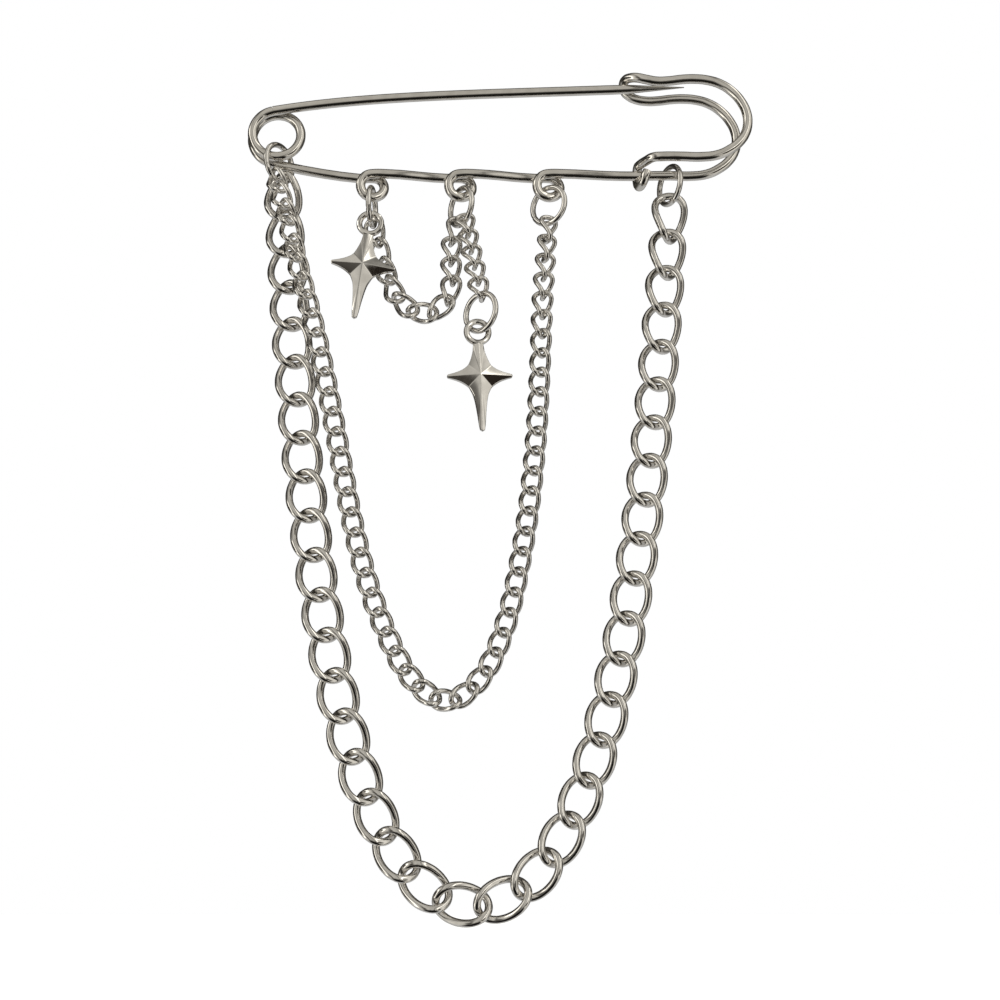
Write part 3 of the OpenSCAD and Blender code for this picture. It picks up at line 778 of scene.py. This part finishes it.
# Joints of a fine chain from one ring to another by way of set places
def routed(firstRing, lastRing, hang, route, count):
    ends = hung(ringSpots[firstRing], hang[0]), hung(ringSpots[lastRing], hang[1])
    return jointsAlong(smoothRoute([ends[0]] + route + [ends[1]], chain["routeSteps"]), count)


fineJoints = routed("coil_ring", "loop_ring_3", chain["fineHang"], chain["fineRoute"],
                    chain["fineCount"])
swagJoints = routed("loop_ring_1", "loop_ring_2", chain["swagHang"], chain["swagRoute"],
                    chain["swagCount"])
dropJoints = [dropStart.lerp(dropEnd, i / chain["dropCount"]) for i in range(chain["dropCount"] + 1)]
buildFine("fineChain", "fine_chain", fineJoints, rolls(chain["fineCount"], *chain["fineRoll"]))
buildFine("swagChain", "swag_chain", swagJoints, rolls(chain["swagCount"], *chain["swagRoll"]))
buildFine("dropChain", "drop_chain", dropJoints, rolls(chain["dropCount"], *chain["dropRoll"]))
for model in (longModel, fineModel):
    bpy.data.objects.remove(model, do_unlink=True)
print("fine chains are ready")


# A star drop, cast with its eye. Sizes are in mm and angles in degrees
star = {
    "side": 4.05, "drop": 7.0, "top": 5.7, "thick": 2.2, "edge": 0.5, "rim": 0.3, "neckRidge": 1.12,
    "corner": 5, "steps": 3, "soft": 0.055, "softSegments": 2, "softAngle": 14, "creaseAngle": 12,
    "eyeRadius": 1.36, "eyeWire": 0.74, "eyeAround": 48, "eyeSides": 16,
    # shares of the side arm and of the upper or lower arm, from the side arm's tip
    "upper": [(1.00, 0.00), (0.975, 0.05), (0.79, 0.093), (0.62, 0.145), (0.48, 0.214), (0.355, 0.315),
              (0.29, 0.43), (0.235, 0.56), (0.18, 0.745), (0.15, 1.00), (0.00, 1.00)],
    "lower": [(1.00, 0.00), (0.975, 0.032), (0.79, 0.06), (0.62, 0.096), (0.48, 0.142), (0.355, 0.20),
              (0.29, 0.264), (0.225, 0.35), (0.18, 0.47), (0.138, 0.657), (0.106, 0.857), (0.075, 0.975),
              (0.00, 1.00)],
}


# One quarter's outline with the half thickness at each point, so that its two facets are flat
def quarter(shares, reach, ridge):
    curve = smoothRoute([(x, z, 0) for x, z in shares[1:-1]], star["steps"])
    cornerAt = 1 + (star["corner"] - 1) * star["steps"]
    rows = [(row[0], row[1] * reach / ridge) for row in [shares[0]] + curve + [shares[-1]]]
    cornerX, cornerZ = rows[cornerAt]
    spots = []
    for i, (x, z) in enumerate(rows):
        if i <= cornerAt:
            fall = x + z * (1 - cornerX) / cornerZ
        else:
            fall = z + x * (1 - cornerZ) / cornerX
        half = max(star["rim"] / 2, star["thick"] / 2 - (star["thick"] - star["edge"]) / 2 * fall)
        spots.append((x * star["side"], z * ridge, half))
    return spots


def starOutline():
    neck = star["top"] - star["eyeRadius"]
    upper = quarter(star["upper"], neck, star["neckRidge"] * neck)
    lower = quarter(star["lower"], star["drop"], star["drop"])
    return (upper + [(-x, z, half) for x, z, half in upper[-2:0:-1]]
            + [(-x, -z, half) for x, z, half in lower]
            + [(x, -z, half) for x, z, half in lower[-2:0:-1]])


def buildStar(node, place, tilt, turn):
    outline = starOutline()
    clearSelection()
    bpy.ops.mesh.primitive_circle_add(vertices=len(outline), radius=mm, fill_type="TRIFAN",
                                      location=(0, 0, 0), rotation=(0, 0, 0))
    piece = bpy.context.object
    centre = min(piece.data.vertices, key=lambda v: v.co.length)
    rim = sorted((v for v in piece.data.vertices if v.index != centre.index),
                 key=lambda v: math.atan2(v.co.y, v.co.x) % (2 * math.pi))
    for vertex, (x, z, half) in zip(rim, outline):
        vertex.co = Vector((x, -half, z)) * mm
    centre.co = Vector((0, -star["thick"] / 2, 0)) * mm
    # the back is the front turned over, and the wall between them is bridged
    other = piece.copy()
    other.data = piece.data.copy()
    scene.collection.objects.link(other)
    other.matrix_world = Matrix.Scale(-1, 4, (0, 1, 0))
    freeze(other)
    body = joinPieces([piece, other])
    pick(body)
    bpy.ops.object.mode_set(mode="EDIT")
    bpy.ops.mesh.select_mode(type="EDGE")
    bpy.ops.mesh.select_all(action="SELECT")
    bpy.ops.mesh.region_to_loop()
    bpy.ops.mesh.bridge_edge_loops()
    facesOut(body)
    soften = body.modifiers.new("soften", "BEVEL")
    soften.width = star["soft"] * mm
    soften.segments = star["softSegments"]
    soften.limit_method = "ANGLE"
    soften.angle_limit = math.radians(star["softAngle"])
    bpy.ops.object.modifier_apply(modifier="soften")
    clearSelection()
    bpy.ops.mesh.primitive_torus_add(
        major_segments=star["eyeAround"], minor_segments=star["eyeSides"],
        major_radius=star["eyeRadius"] * mm, minor_radius=star["eyeWire"] / 2 * mm,
        location=(0, 0, star["top"] * mm), rotation=(math.radians(90), 0, 0))
    eye = bpy.context.object
    freeze(eye)
    pick(body)
    weld = body.modifiers.new("weld", "BOOLEAN")
    weld.operation = "UNION"
    weld.solver = "EXACT"
    weld.object = eye
    bpy.ops.object.modifier_apply(modifier="weld")
    bpy.data.objects.remove(eye, do_unlink=True)
    body.matrix_world = (Matrix.Translation(Vector(place) * mm)
                         @ Matrix.Rotation(math.radians(turn), 4, "Z")
                         @ Matrix.Rotation(math.radians(tilt), 4, "Y")
                         @ Matrix.Translation((0, 0, -star["top"] * mm)))
    freeze(body)
    finishPiece(body, node.replace("_", ""), "frame", starSilver, [node], angle=star["creaseAngle"])


# The centre of an eye that hangs on a ring, t mm beside the ring's lowest place
def eyeOn(spot, t):
    lift = ((ring["wire"] + star["eyeWire"]) / 2 + ring["clearance"] + ring["slantRest"] * t * t
            - star["eyeRadius"])
    return ringLow(spot, t) + Vector((0, 0, lift))


starSpots = {
    # node: its ring, place beside the ring's lowest place, lift, tilt and turn
    "star_1": ("loop_ring_1", -0.9, 0, 8, 0),
    "star_2": ("star_ring", -0.5, 0.35, -3, 8),
}
for node, (ringNode, beside, lift, tilt, turn) in starSpots.items():
    buildStar(node, eyeOn(ringSpots[ringNode], beside) + Vector((0, 0, lift)), tilt, turn)
print("stars are ready")
